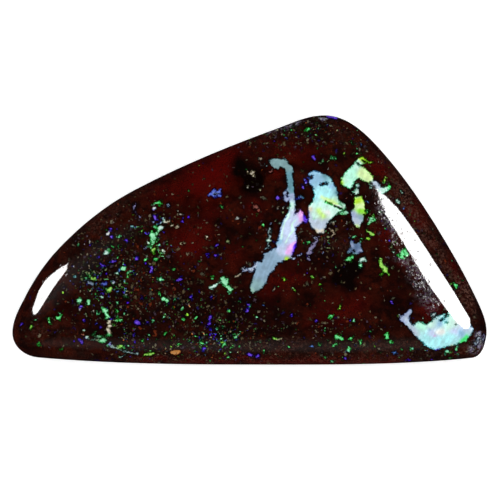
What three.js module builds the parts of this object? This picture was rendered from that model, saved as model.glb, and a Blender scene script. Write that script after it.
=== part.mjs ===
// A polished freeform cabochon of boulder opal, lying on its flat back with its dome up.
// +X runs along the stone's length, +Y across it and +Z up through the dome. The origin is on
// the resting face, under the middle of the outline's box. Lengths are in millimetres.

import * as THREE from "three";

// Driving dimensions
const GIRDLE_HEIGHT = 2.6; // from the flat back up to the widest outline
const DOME_HEIGHT = 2.6; // from the widest outline up to the crown
const BACK_INSET = 0.8; // how far the back's edge lies inside the widest outline
const WALL_ROUNDING = 3; // power of the curve from the back's edge out to the widest outline
const DOME_FULLNESS = 2.4; // power of the dome's curve: higher is flatter on top, with a tighter shoulder

// Fineness of the surface
const SIDE_LENGTH = 1.2; // longest side of the outline, where it runs straight
const SIDE_TURN = 14; // most degrees from one side to the next, where it is short
const WALL_RINGS = 5;
const DOME_RINGS = 17;

// Limits of the arithmetic
const LEAST_OFFSET = 1e-3; // of a point from the line of a side, so that nothing is divided by zero
const FIRST_STEP = 4; // of the search for the crown
const LAST_STEP = 1e-3;

// Stations of the outline, counter-clockwise seen from above, each with the heading of the edge there
const STATIONS = [
  { x: -20.0, y: -7.8, heading: 270 }, // left tip
  { x: -17.8, y: -9.88, heading: 355 }, // end of the left corner
  { x: 0.2, y: -10.48, heading: 360 }, // lowest point of the long side
  { x: 18.7, y: -9.91, heading: 366 }, // start of the right corner
  { x: 19.77, y: -8.75, heading: 436 }, // end of the right corner
  { x: 19.94, y: -7.6, heading: 453 }, // rightmost point
  { x: 19.3, y: -5.4, heading: 475 }, // start of the steep side
  { x: 17.2, y: -1.35, heading: 480 }, // steep side
  { x: 10.6, y: 8.06, heading: 493 }, // end of the steep side
  { x: 6.4, y: 10.52, heading: 538 }, // top corner
  { x: 2.2, y: 9.38, heading: 560 }, // start of the long slope
  { x: -9.9, y: 4.13, heading: 568 }, // long slope
  { x: -15.96, y: -0.55, heading: 586 }, // where the slope turns down
  { x: -18.9, y: -4.72, heading: 603 }, // above the left tip
];

// Direction of a heading given in degrees from +X towards +Y.
function direction(heading) {
  const angle = THREE.MathUtils.degToRad(heading);
  return new THREE.Vector2(Math.cos(angle), Math.sin(angle));
}

// The stretch between two stations as one cubic curve. With a turn of a, handles of
// chord / (3 cos^2(a / 4)) make the curve as near to a round arc as its ends allow.
function stretch(start, end, turn) {
  const from = new THREE.Vector2(start.x, start.y);
  const to = new THREE.Vector2(end.x, end.y);
  const quarterTurn = THREE.MathUtils.degToRad(turn) / 4;
  const reach = from.distanceTo(to) / (3 * Math.cos(quarterTurn) ** 2);
  return new THREE.CubicBezierCurve(
    from,
    from.clone().addScaledVector(direction(start.heading), reach),
    to.clone().addScaledVector(direction(end.heading), -reach),
    to,
  );
}

// The widest outline as a closed ring of points, moved so that the middle of its box is the origin.
function outlinePoints() {
  const points = STATIONS.flatMap((start, i) => {
    const end = STATIONS[(i + 1) % STATIONS.length];
    const turn = THREE.MathUtils.euclideanModulo(end.heading - start.heading, 360);
    const curve = stretch(start, end, turn);
    const sides = Math.ceil(curve.getLength() / SIDE_LENGTH + turn / SIDE_TURN);
    return curve.getPoints(sides).slice(0, -1);
  });
  const middle = new THREE.Box2().setFromPoints(points).getCenter(new THREE.Vector2());
  return points.map((point) => point.sub(middle));
}

// A smooth measure of how far a point lies inside the outline. Each length ds of the outline, r away,
// adds ds / r^3. Beside a long straight edge at distance h the sum is 2 / h^2, so sqrt(2 / sum) is h
// there, and between edges it blends with no crease. One straight side from s = a to s = b along its
// own line, which passes at distance h, adds (b / sqrt(b^2 + h^2) - a / sqrt(a^2 + h^2)) / h^2.
function depthInside(outline, point) {
  let sum = 0;
  outline.forEach((start, i) => {
    const side = outline[(i + 1) % outline.length].clone().sub(start);
    const length = side.length();
    const a = start.clone().sub(point).dot(side) / length;
    const b = a + length;
    const h2 = Math.max(start.distanceToSquared(point) - a * a, LEAST_OFFSET ** 2);
    sum += (b / Math.sqrt(b * b + h2) - a / Math.sqrt(a * a + h2)) / h2;
  });
  return Math.sqrt(2 / sum);
}

// The point that lies deepest inside the outline, found by walking uphill in ever shorter steps.
function deepestPoint(outline) {
  const point = new THREE.Vector2();
  let depth = depthInside(outline, point);
  for (let step = FIRST_STEP; step > LAST_STEP; ) {
    const moved = [0, 90, 180, 270]
      .map((heading) => point.clone().addScaledVector(direction(heading), step))
      .find((next) => depthInside(outline, next) > depth);
    if (moved) {
      point.copy(moved);
      depth = depthInside(outline, point);
    } else {
      step /= 2;
    }
  }
  return { point, depth };
}

// The outline drawn in by the same distance all round, square to the edge.
function insetLine(outline, inset) {
  return outline.map((point, i) => {
    const before = outline[(i + outline.length - 1) % outline.length];
    const after = outline[(i + 1) % outline.length];
    const along = after.clone().sub(before).normalize();
    return new THREE.Vector2(point.x - along.y * inset, point.y + along.x * inset);
  });
}

// Two triangles between neighbouring points of two rings, parted along the shorter diagonal.
function quadFaces(vertices, a, b, c, d) {
  const acrossAC = vertices[a].distanceTo(vertices[c]);
  const acrossBD = vertices[b].distanceTo(vertices[d]);
  return acrossAC < acrossBD ? [a, b, c, a, c, d] : [a, b, d, b, c, d];
}

// The wall below the widest outline: at height z its inset is
// BACK_INSET (1 - z / GIRDLE_HEIGHT)^WALL_ROUNDING.
function wallRings(outline) {
  return Array.from({ length: WALL_RINGS }, (_, i) => {
    const share = i / WALL_RINGS;
    const inset = BACK_INSET * (1 - share) ** WALL_ROUNDING;
    return insetLine(outline, inset).map(({ x, y }) => new THREE.Vector3(x, y, GIRDLE_HEIGHT * share));
  });
}

// The dome, as copies of the outline shrunk towards the crown. Where the depth inside is u of the
// deepest, it stands DOME_HEIGHT sqrt(1 - (1 - u)^DOME_FULLNESS) above the girdle. The rings are at
// even angles of that curve, which sets them close together at the steep edge.
function domeRings(outline, crown, deepest) {
  return Array.from({ length: DOME_RINGS }, (_, i) => {
    const inward = 1 - Math.cos((i / DOME_RINGS) * (Math.PI / 2)) ** (2 / DOME_FULLNESS);
    return outline.map((edge) => {
      const point = edge.clone().lerp(crown, inward);
      const depth = i === 0 ? 0 : depthInside(outline, point) / deepest;
      const rise = DOME_HEIGHT * Math.sqrt(1 - (1 - depth) ** DOME_FULLNESS);
      return new THREE.Vector3(point.x, point.y, GIRDLE_HEIGHT + rise);
    });
  });
}

// The whole stone: rings from the back's edge up to the crown, closed by a fan at each end.
function stoneGeometry() {
  const outline = outlinePoints();
  const { point: crown, depth: deepest } = deepestPoint(outline);
  const rings = [...wallRings(outline), ...domeRings(outline, crown, deepest)];
  const backMiddle = new THREE.Vector3(crown.x, crown.y, 0);
  const top = new THREE.Vector3(crown.x, crown.y, GIRDLE_HEIGHT + DOME_HEIGHT);
  const vertices = [...rings.flat(), backMiddle, top];

  const count = outline.length;
  const lastRing = (rings.length - 1) * count;
  const backIndex = vertices.length - 2;
  const topIndex = vertices.length - 1;
  const faces = [];
  for (let i = 0; i < count; i++) {
    const next = (i + 1) % count;
    for (let base = 0; base < lastRing; base += count) {
      faces.push(...quadFaces(vertices, base + i, base + next, base + count + next, base + count + i));
    }
    faces.push(backIndex, next, i);
    faces.push(topIndex, lastRing + i, lastRing + next);
  }
  const geometry = new THREE.BufferGeometry().setFromPoints(vertices);
  geometry.setIndex(faces);
  geometry.computeVertexNormals();
  return geometry;
}

// Dark red-brown ironstone under a glassy polish
const polishedIronstone = new THREE.MeshStandardMaterial({
  color: 0x32110d,
  roughness: 0.12,
  metalness: 0,
});

const stone = new THREE.Mesh(stoneGeometry(), polishedIronstone);
stone.name = "boulder_opal";

const cabochon = new THREE.Group();
cabochon.add(stone);

export default cabochon;
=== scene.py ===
import math

import bpy
import numpy as np
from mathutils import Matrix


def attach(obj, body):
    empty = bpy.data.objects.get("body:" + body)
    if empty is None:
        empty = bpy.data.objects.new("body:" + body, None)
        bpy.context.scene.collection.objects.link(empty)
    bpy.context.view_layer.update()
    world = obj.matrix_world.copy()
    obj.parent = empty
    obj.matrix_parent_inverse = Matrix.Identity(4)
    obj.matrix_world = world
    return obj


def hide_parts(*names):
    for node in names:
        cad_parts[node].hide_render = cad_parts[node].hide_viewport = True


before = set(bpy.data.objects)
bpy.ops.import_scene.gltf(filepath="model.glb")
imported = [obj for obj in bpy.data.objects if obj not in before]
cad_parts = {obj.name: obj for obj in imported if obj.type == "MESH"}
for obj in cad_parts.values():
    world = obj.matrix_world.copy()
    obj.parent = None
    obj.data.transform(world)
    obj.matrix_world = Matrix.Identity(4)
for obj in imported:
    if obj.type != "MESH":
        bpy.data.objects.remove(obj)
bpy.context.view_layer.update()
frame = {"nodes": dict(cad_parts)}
print("frame loaded:", ", ".join(frame["nodes"]))

mm = 0.001  # metres in a millimetre; shapes and patterns below are worked out in millimetres

# The photograph's frame: pixels to a millimetre at the stone's widest outline, where the stone's middle
# falls, where the camera's axis falls, and how far above the widest outline the camera stands.
photo = {
    "width": 500,
    "pixelsPerMm": 11.875,
    "stoneMiddle": (249.5, 240.0),
    "cameraMiddle": (250.0, 250.0),
    "cameraHeight": 400.0,
}


# Colours as they look on screen, 0 to 255, turned into the linear values that a shader takes.
def linearColour(*screenColour):
    share = np.array(screenColour, dtype=float) / 255
    return np.where(share <= 0.04045, share / 12.92, ((share + 0.055) / 1.055) ** 2.4)


def shaderColour(*screenColour):
    return (*linearColour(*screenColour), 1.0)


def addMeshObject(name, points, faces):
    mesh = bpy.data.meshes.new(name)
    mesh.from_pydata(points.tolist(), [], faces)
    made = bpy.data.objects.new(name, mesh)
    bpy.context.scene.collection.objects.link(made)
    return made, mesh


# The stone's surface

# Sizes in millimetres. The stations are x, y and the heading of the edge, counter-clockwise from above.
stone = {
    "stations": [
        (-20.0, -7.8, 270), (-17.8, -9.88, 355), (0.2, -10.48, 360), (18.7, -9.91, 366),
        (19.77, -8.75, 436), (19.94, -7.6, 453), (19.3, -5.4, 475), (17.2, -1.35, 480),
        (10.6, 8.06, 493), (6.4, 10.52, 538), (2.2, 9.38, 560), (-9.9, 4.13, 568),
        (-15.96, -0.55, 586), (-18.9, -4.72, 603),
    ],
    "girdleHeight": 2.6,
    "domeHeight": 2.6,
    "domeFullness": 2.4,  # higher is flatter on top, with a tighter shoulder
    "backInset": 0.8,
    "wallRounding": 3,
    "backEdgeRadius": 0.12,
    "pointsAround": 560,
    "turnWeight": 0.8,  # millimetres of edge that a radian of turn counts as, for more points at corners
    "stretchPoints": 200,  # along each stretch, before the points are spread evenly
    "domeRings": 132,
    "ringCrowding": 1.4,  # above 1 sets the dome's rings closer together at its steep edge
    "wallRings": 14,
    "wallCrowding": 1.3,  # above 1 sets the wall's rings closer together at the back's edge
    "backRings": 12,
    "rippleDepth": 0.004,  # of the hand polish
    "rippleLength": 3.2,
    "rippleSeed": 3,
    "rippleFade": 4,  # the ripple fades out where the depth is under one part in this many
    "crownSearch": (6.0, 0.005),  # first and last reach
    "depthBatches": 160,  # parts in which the dome is worked out, to spare memory
}


# Unit vectors at headings in degrees from +X towards +Y.
def headingVectors(headings):
    angle = np.radians(headings)
    return np.stack([np.cos(angle), np.sin(angle)], axis=-1)


# The outline as one ring of points. Each stretch between two stations is a cubic curve whose handles
# are chord / (3 cos^2(turn / 4)) long. The points are then spread evenly in length plus weighted turn.
def outlineRing(shape):
    stations = np.array(shape["stations"], dtype=float)
    start, heading = stations[:, :2], stations[:, 2]
    end, endHeading = np.roll(start, -1, axis=0), np.roll(heading, -1)
    turn = np.radians((endHeading - heading) % 360)
    reach = np.hypot(*(end - start).T) / (3 * np.cos(turn / 4) ** 2)
    corners = [
        start,
        start + headingVectors(heading) * reach[:, None],
        end - headingVectors(endHeading) * reach[:, None],
        end,
    ]
    t = np.linspace(0, 1, shape["stretchPoints"], endpoint=False)[None, :, None]
    weights = [(1 - t) ** 3, 3 * t * (1 - t) ** 2, 3 * t * t * (1 - t), t ** 3]
    dense = sum(weight * corner[:, None] for weight, corner in zip(weights, corners)).reshape(-1, 2)

    side = np.roll(dense, -1, axis=0) - dense
    way = np.unwrap(np.arctan2(side[:, 1], side[:, 0]))
    bend = np.abs(np.roll(way, -1) - way)
    bend[-1] = 0
    measure = np.concatenate([[0], np.cumsum(np.hypot(*side.T) + shape["turnWeight"] * bend)])
    even = np.linspace(0, measure[-1], shape["pointsAround"], endpoint=False)
    closed = np.vstack([dense, dense[:1]])
    ring = np.stack([np.interp(even, measure, closed[:, axis]) for axis in (0, 1)], axis=-1)
    return ring - (ring.min(axis=0) + ring.max(axis=0)) / 2


leastSquare = 1e-6  # the least square of a distance, so that nothing is divided by zero


# How far inside the outline each point lies: sqrt(2 / sum), where each length ds of the outline at
# distance r adds ds / r^3. A straight side from a to b along a line at distance h adds
# (b / sqrt(b^2 + h^2) - a / sqrt(a^2 + h^2)) / h^2.
def depthInside(ring, points):
    side = np.roll(ring, -1, axis=0) - ring
    length = np.hypot(*side.T)
    toStart = ring[None] - points[:, None]
    a = (toStart * side).sum(axis=-1) / length
    b = a + length
    h2 = np.maximum((toStart ** 2).sum(axis=-1) - a * a, leastSquare)
    total = ((b / np.sqrt(b * b + h2) - a / np.sqrt(a * a + h2)) / h2).sum(axis=1)
    return np.sqrt(2 / total)


# The crown: the deepest of a square of points, then of ever smaller squares about the last one.
def findCrown(ring, search):
    crown, (reach, lastReach) = np.zeros(2), search
    steps = np.linspace(-1, 1, 5)
    square = np.stack(np.meshgrid(steps, steps), axis=-1).reshape(-1, 2)
    while reach > lastReach:
        tried = crown + square * reach
        depths = depthInside(ring, tried)
        crown, reach = tried[np.argmax(depths)], reach / 2
    return crown, depths.max()


# Smooth noise from 0 to 1 over the plane: a seeded table of random heights, blended between its cells.
def softNoise(points, cell, seed):
    size = 64
    table = np.random.RandomState(seed).rand(size, size)
    place = points / cell
    corner = np.floor(place).astype(int)
    u, v = ((place - corner) ** 2 * (3 - 2 * (place - corner))).T
    i, j = corner.T % size
    nextI, nextJ = (i + 1) % size, (j + 1) % size
    near = table[i, j] * (1 - u) + table[nextI, j] * u
    far = table[i, nextJ] * (1 - u) + table[nextI, nextJ] * u
    return near * (1 - v) + far * v


# The stone as a closed grid of rings: back, wall and dome. The dome's rings are copies of the outline
# shrunk towards the crown, raised by domeHeight sqrt(1 - (1 - depth)^domeFullness). The wall is set in
# by backInset (1 - height)^wallRounding, and rounded at the back's edge by a quarter circle. Also gives
# the outline, its outward directions, the crown, and the counts of rings and of points around.
def buildStone(shape):
    ring = outlineRing(shape)
    crown, deepest = findCrown(ring, shape["crownSearch"])
    along = np.roll(ring, -1, axis=0) - np.roll(ring, 1, axis=0)
    along /= np.hypot(*along.T)[:, None]
    inwards = np.stack([-along[:, 1], along[:, 0]], axis=-1)

    wallShare = (np.arange(shape["wallRings"]) / shape["wallRings"])[:, None] ** shape["wallCrowding"]
    wallHeight = np.broadcast_to(wallShare * shape["girdleHeight"], (len(wallShare), len(ring)))
    radius = shape["backEdgeRadius"]
    low = np.clip(1 - wallHeight / radius, 0, 1)
    inset = shape["backInset"] * (1 - wallShare) ** shape["wallRounding"]
    inset = inset + radius * (1 - np.sqrt(1 - low ** 2))
    wallPlace = ring[None] + inwards[None] * inset[..., None]

    domeShare = (np.arange(shape["domeRings"]) / shape["domeRings"])[:, None, None] ** shape["ringCrowding"]
    domePlace = ring[None] + (crown - ring)[None] * domeShare
    flat = domePlace.reshape(-1, 2)
    batches = np.array_split(flat, shape["depthBatches"])
    depth = np.concatenate([depthInside(ring, batch) for batch in batches]) / deepest
    depth[:len(ring)] = 0  # the first ring is the outline itself
    rise = shape["domeHeight"] * np.sqrt(1 - (1 - np.clip(depth, 0, 1)) ** shape["domeFullness"])
    ripple = softNoise(flat, shape["rippleLength"], shape["rippleSeed"]) - 0.5
    rise += shape["rippleDepth"] * 2 * ripple * np.clip(depth * shape["rippleFade"], 0, 1)
    domeHeight = shape["girdleHeight"] + rise.reshape(domePlace.shape[:2])

    backShare = (np.arange(1, shape["backRings"])[::-1] / shape["backRings"])[:, None, None]
    backPlace = crown + (wallPlace[:1] - crown) * (1 - backShare)
    backHeight = np.zeros(backPlace.shape[:2])

    rings = np.concatenate([backPlace, wallPlace, domePlace])
    heights = np.concatenate([backHeight, wallHeight, domeHeight])
    surface = np.dstack([rings, heights]).reshape(-1, 3)
    poles = np.array([[*crown, 0], [*crown, shape["girdleHeight"] + shape["domeHeight"]]])
    return np.vstack([surface, poles]), ring, -inwards, crown, rings.shape[:2]


# Faces between neighbouring rings, and a fan at each pole, all seen counter-clockwise from outside.
def ringFaces(ringCount, around):
    i = np.arange(around)
    after = (i + 1) % around
    base = np.arange(ringCount - 1)[:, None] * around
    above = base + around
    quads = np.stack([base + i, base + after, above + after, above + i], axis=-1).reshape(-1, 4)
    backPole, topPole = ringCount * around, ringCount * around + 1
    last = (ringCount - 1) * around
    backFan = np.stack([np.full(around, backPole), after, i], axis=-1)
    topFan = np.stack([np.full(around, topPole), last + i, last + after], axis=-1)
    return quads, backFan, topFan


vertices, ring, outwards, crown, gridSize = buildStone(stone)
quads, backFan, topFan = ringFaces(*gridSize)
faces = quads.tolist() + backFan.tolist() + topFan.tolist()
cabochon, stoneMesh = addMeshObject("opalCabochon", vertices * mm, faces)
stoneMesh.polygons.foreach_set("use_smooth", np.ones(len(stoneMesh.polygons), dtype=bool))
print("stone surface:", len(vertices), "points, crown at", crown.round(2), "mm")

backRingCount = stone["backRings"] - 1
ringIndex = np.append(np.repeat(np.arange(gridSize[0]), gridSize[1]), [-1, gridSize[0]])
onBack = ringIndex < backRingCount  # the back's own points, without its edge
backFace = np.concatenate([onBack[quads[:, 0]], np.full(len(backFan), True), np.full(len(topFan), False)])


# The bake map: front and back as two islands, one above the other. On the front the dome's rings keep
# their share of the way out from the crown, and the wall is a band round them.
bakeMap = {
    "width": 0.96,
    "domeShare": 0.86,
    "frontMiddle": 0.75,
    "backMiddle": 0.25,
}


def layBakeMap(mesh, layout):
    spokes = np.tile(ring - crown, (gridSize[0], 1))
    domeOut = np.ones(gridSize[0])
    domeRings = np.arange(stone["domeRings"]) / stone["domeRings"]
    wallRings = np.arange(stone["wallRings"]) / stone["wallRings"]
    domeOut[-stone["domeRings"]:] = layout["domeShare"] * (1 - domeRings ** stone["ringCrowding"])
    domeOut[backRingCount:backRingCount + stone["wallRings"]] = 1 - (1 - layout["domeShare"]) * wallRings
    scale = layout["width"] / np.ptp(ring[:, 0])
    front = spokes * np.repeat(domeOut, gridSize[1])[:, None]
    front = np.vstack([front, np.zeros((2, 2))]) + crown
    loops = np.empty(len(mesh.loops), dtype=np.int32)
    mesh.loops.foreach_get("vertex_index", loops)
    loopCounts = np.empty(len(mesh.polygons), dtype=np.int32)
    mesh.polygons.foreach_get("loop_total", loopCounts)
    loopOnBack = np.repeat(backFace, loopCounts)[:, None]
    back = vertices[loops, :2] * scale + (0.5, layout["backMiddle"])
    places = np.where(loopOnBack, back, front[loops] * scale + (0.5, layout["frontMiddle"]))
    mesh.uv_layers.new(name="OFBake").data.foreach_set("uv", places.ravel())


layBakeMap(stoneMesh, bakeMap)


# The opal's seams, wisps and flecks, drawn one by one. Every place is in pixels of the 500 x 500 photograph.

opalColours = {
    "white": (250, 255, 250),
    "mintWhite": (214, 255, 240),
    "mint": (188, 254, 226),
    "leafMint": (136, 248, 178),
    "aqua": (178, 246, 250),
    "green": (70, 232, 118),
    "deepGreen": (24, 150, 66),
    "lime": (188, 236, 60),
    "yellowGreen": (140, 224, 60),
    "paleLime": (222, 252, 178),
    "paleGreenYellow": (206, 248, 144),
    "cream": (232, 222, 196),
    "tan": (140, 118, 88),
    "olive": (84, 100, 44),
    "paleTeal": (130, 164, 168),
    "teal": (104, 154, 168),
    "paleBlue": (142, 172, 196),
    "skyBlue": (150, 196, 226),
    "blue": (50, 78, 214),
    "violet": (84, 30, 232),
    "lavender": (206, 220, 250),
    "greyLavender": (160, 174, 208),
    "mist": (188, 204, 222),
    "pink": (236, 178, 238),
    "greyGreen": (146, 186, 168),
    "amber": (190, 104, 18),
    "rust": (214, 118, 58),
    "duskLavender": (104, 96, 146),
    "duskBlue": (92, 116, 150),
    "grey": (150, 146, 128),
    "red": (96, 18, 6),
}

# Each seam has the outline of its patches, the dabs of colour in it as (x, y, size) or as strokes
# (x, y, x, y, size), and the dark gaps across it.
opalSeams = {
    "longVein": {
        "patches": [[
            (268.5, 159.5), (276, 158), (286.5, 159.5), (288, 163.5), (291.5, 165.5), (293, 168), (293, 177),
            (294, 192), (295, 198), (295.5, 207.5), (294.5, 215), (300.5, 209.5), (304.5, 215), (305.5, 221),
            (301.5, 223), (296, 227.5), (295.5, 232.5), (297, 240), (297, 245), (294, 251.5), (290, 259),
            (286.5, 260), (278.5, 263), (274, 269.5), (268, 277), (265.5, 284), (262.5, 288.5), (253, 293.5),
            (249, 288), (252, 281), (253, 277), (256, 265), (257.5, 261.5), (262.5, 261.5), (263.5, 256),
            (262.5, 254.5), (270, 250.5), (276.5, 247.5), (276, 243.5), (279.5, 234), (281.5, 222.5),
            (287.5, 214), (290, 206.5), (289, 200), (286.5, 203.5), (284, 200.5), (283, 192.5), (286, 189.5),
            (287.5, 184.5), (285, 169), (279.5, 167), (277.5, 170.5), (272, 167),
        ]],
        "colours": {
            "paleTeal": [(276, 162, 6), (287, 168, 4), (255, 288, 5)],
            "teal": [(290, 174, 291, 190, 3)],
            "greyLavender": [(286, 196, 3), (284, 201, 2), (292, 196, 2)],
            "mintWhite": [(291, 204, 2), (288, 214, 281, 237, 0.9), (295, 220, 287, 243, 0.7)],
            "lavender": [(291, 222, 4), (286, 230, 4), (290, 238, 4), (281, 250, 3), (297, 219, 1.5)],
            "pink": [(301.5, 211, 301, 219, 2), (295.5, 244, 288, 252, 1.3)],
            "violet": [(304.5, 213, 305, 221, 1.3), (297, 245, 294, 251, 1.2)],
            "skyBlue": [(279, 240, 3), (284, 224, 1.4)],
            "paleBlue": [(272, 260, 6), (262, 272, 6), (266, 256, 3)],
            "greyGreen": [(253, 291, 3)],
            "lime": [(287, 260, 1)],
        },
        "gaps": [(287.2, 192.5, 287.4, 196.5, 0.7)],
    },
    "middleVein": {
        "patches": [[
            (308.5, 174), (312.5, 170.5), (318, 172), (325, 174), (330, 176.5), (333, 182.5), (336.5, 188),
            (338, 195), (339, 200.5), (346, 204.5), (344, 209), (339, 212), (335, 215.5), (330.5, 219.5),
            (326.5, 224.5), (324, 233), (317.5, 233), (315, 230.5), (311, 227), (308, 219.5), (308.5, 213),
            (307.5, 207), (313.5, 200), (314.5, 194), (312.5, 186.5), (309, 183),
        ]],
        "colours": {
            "skyBlue": [(315, 180, 5), (331, 187, 3)],
            "teal": [(325, 176, 2), (336, 194, 2)],
            "aqua": [(325, 193, 6), (316, 195, 4)],
            "paleLime": [(320, 196, 334, 203, 1.6)],
            "mintWhite": [(330, 208, 4), (340, 207, 3), (313, 204, 2.5), (322, 203, 2), (315, 214, 2)],
            "green": [(326, 201, 341, 208.5, 0.7)],
            "paleGreenYellow": [(320.5, 210, 321.5, 216, 1.7), (326, 197.5, 338, 203.5, 0.9)],
            "white": [(333, 204, 343, 207, 1.2), (327, 212, 2)],
            "mist": [(313, 222, 4), (319, 227, 3), (324, 222, 2)],
            "cream": [(311, 209, 1.6), (317, 231, 1.6), (322, 231, 1.2)],
        },
        "gaps": [(321, 184.5, 327, 183.5, 1), (326, 201.2, 341, 208.8, 0.45), (311.5, 177, 2.0)],
    },
    "crownPatch": {
        "patches": [[
            (340, 183), (341.5, 177.5), (345.5, 172.5), (350, 167.5), (354, 164), (357, 159), (361.5, 156.5),
            (365.5, 159), (369, 161.5), (374, 162.5), (365, 163), (360, 165), (364.5, 168), (370.5, 173),
            (373.5, 177.5), (372, 181.5), (368.5, 182.5), (361.5, 180.5), (359.5, 178), (355.5, 180),
            (353, 185.5), (350.5, 189), (345.5, 186.5),
        ], [
            (371.5, 182.5), (376.5, 180.5), (379.5, 185.5), (384, 188), (389.5, 184), (391, 186.5),
            (388, 190.5), (381.5, 195),
        ], [
            (355, 196.5), (361.5, 196.5), (364, 203), (366, 213), (364, 215), (364.5, 217), (361.5, 223),
            (359, 228), (353, 224), (351.5, 219), (350.5, 212), (354, 208),
        ]],
        "colours": {
            "lime": [(361, 158, 370, 161, 2), (341, 182, 2), (358, 200, 2), (365, 214, 1.5)],
            "mint": [(350, 178, 5), (348, 184, 3), (353, 171, 4)],
            "mintWhite": [(357, 167, 4), (383, 191, 3), (347, 180, 2)],
            "paleLime": [(362, 173, 4), (368, 178, 3), (361, 206, 3), (356, 226, 2)],
            "mist": [(376, 184, 2.5), (357, 220, 3), (354, 221, 2)],
            "green": [(389.5, 185, 1.5)],
            "yellowGreen": [(361, 211, 2)],
            "greyLavender": [(354, 215, 2.5)],
            "paleBlue": [(360, 217, 2)],
        },
        "gaps": [(362.5, 160.5, 369, 163.5, 0.6), (357.5, 163, 360, 167, 0.5), (366, 158.5, 0.7)],
    },
    "starPatch": {
        "patches": [[
            (348.5, 236.5), (352.5, 240.5), (356, 243.5), (361, 240), (361, 245.5), (363.5, 252),
            (359, 252.5), (356, 255.5), (351.5, 252.5), (346, 254), (348.5, 249.5), (350.5, 245.5),
        ]],
        "colours": {
            "duskBlue": [(351, 240, 2), (350, 252, 2), (357, 247, 3)],
            "greyLavender": [(359, 251, 2), (353, 246, 1.5)],
            "mint": [(361, 241, 0.8)],
        },
        "gaps": [(354, 250.3, 1.2)],
    },
    "cornerPatch": {
        "patches": [[
            (398.5, 319), (402.5, 315), (412, 307.5), (412.5, 312), (410, 315), (409, 318), (411, 323.5),
            (414, 325), (418.5, 321), (422.5, 323), (426.5, 325), (430.5, 321), (434.5, 319), (437, 315.5),
            (442, 315), (447.5, 313), (452, 306), (462, 308), (468, 319.5), (471.5, 326), (473.5, 329.5),
            (472, 334), (468, 338), (466, 341.5), (458.5, 343.5), (452, 345.5), (444, 347.5), (436, 350.5),
            (428, 347.5), (424, 343.5), (418.5, 339), (414, 335), (410.5, 330), (408, 327), (403, 323),
        ]],
        "colours": {
            "greyLavender": [(405, 314, 3), (401, 320, 2)],
            "mist": [(406, 319, 1.5), (413, 331, 3.5)],
            "mint": [(421, 327, 3)],
            "lavender": [(433, 332, 4), (464, 327, 3), (455, 331, 3)],
            "white": [(438, 331.5, 444, 331, 2.2), (458, 321, 2), (463, 326, 2)],
            "pink": [(435, 334.5, 1)],
            "aqua": [(436, 341, 6), (447, 339, 5), (428, 338, 4), (446, 321, 3)],
            "mintWhite": [(450, 325, 4), (455, 318, 5), (431, 325, 3)],
            "violet": [(436, 350, 1)],
            "skyBlue": [(461, 334, 2.5), (441, 324, 2), (430, 329, 1.5)],
            "green": [(461, 341.5, 468, 336.5, 0.9)],
            "cream": [(452, 345, 1.2)],
        },
        "gaps": [
            (448, 315, 440, 321, 0.8), (446.5, 323, 1), (455.5, 324.5, 1), (466.5, 323.5, 1.2),
            (431, 318, 437, 313, 0.6),
        ],
    },
}

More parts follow.
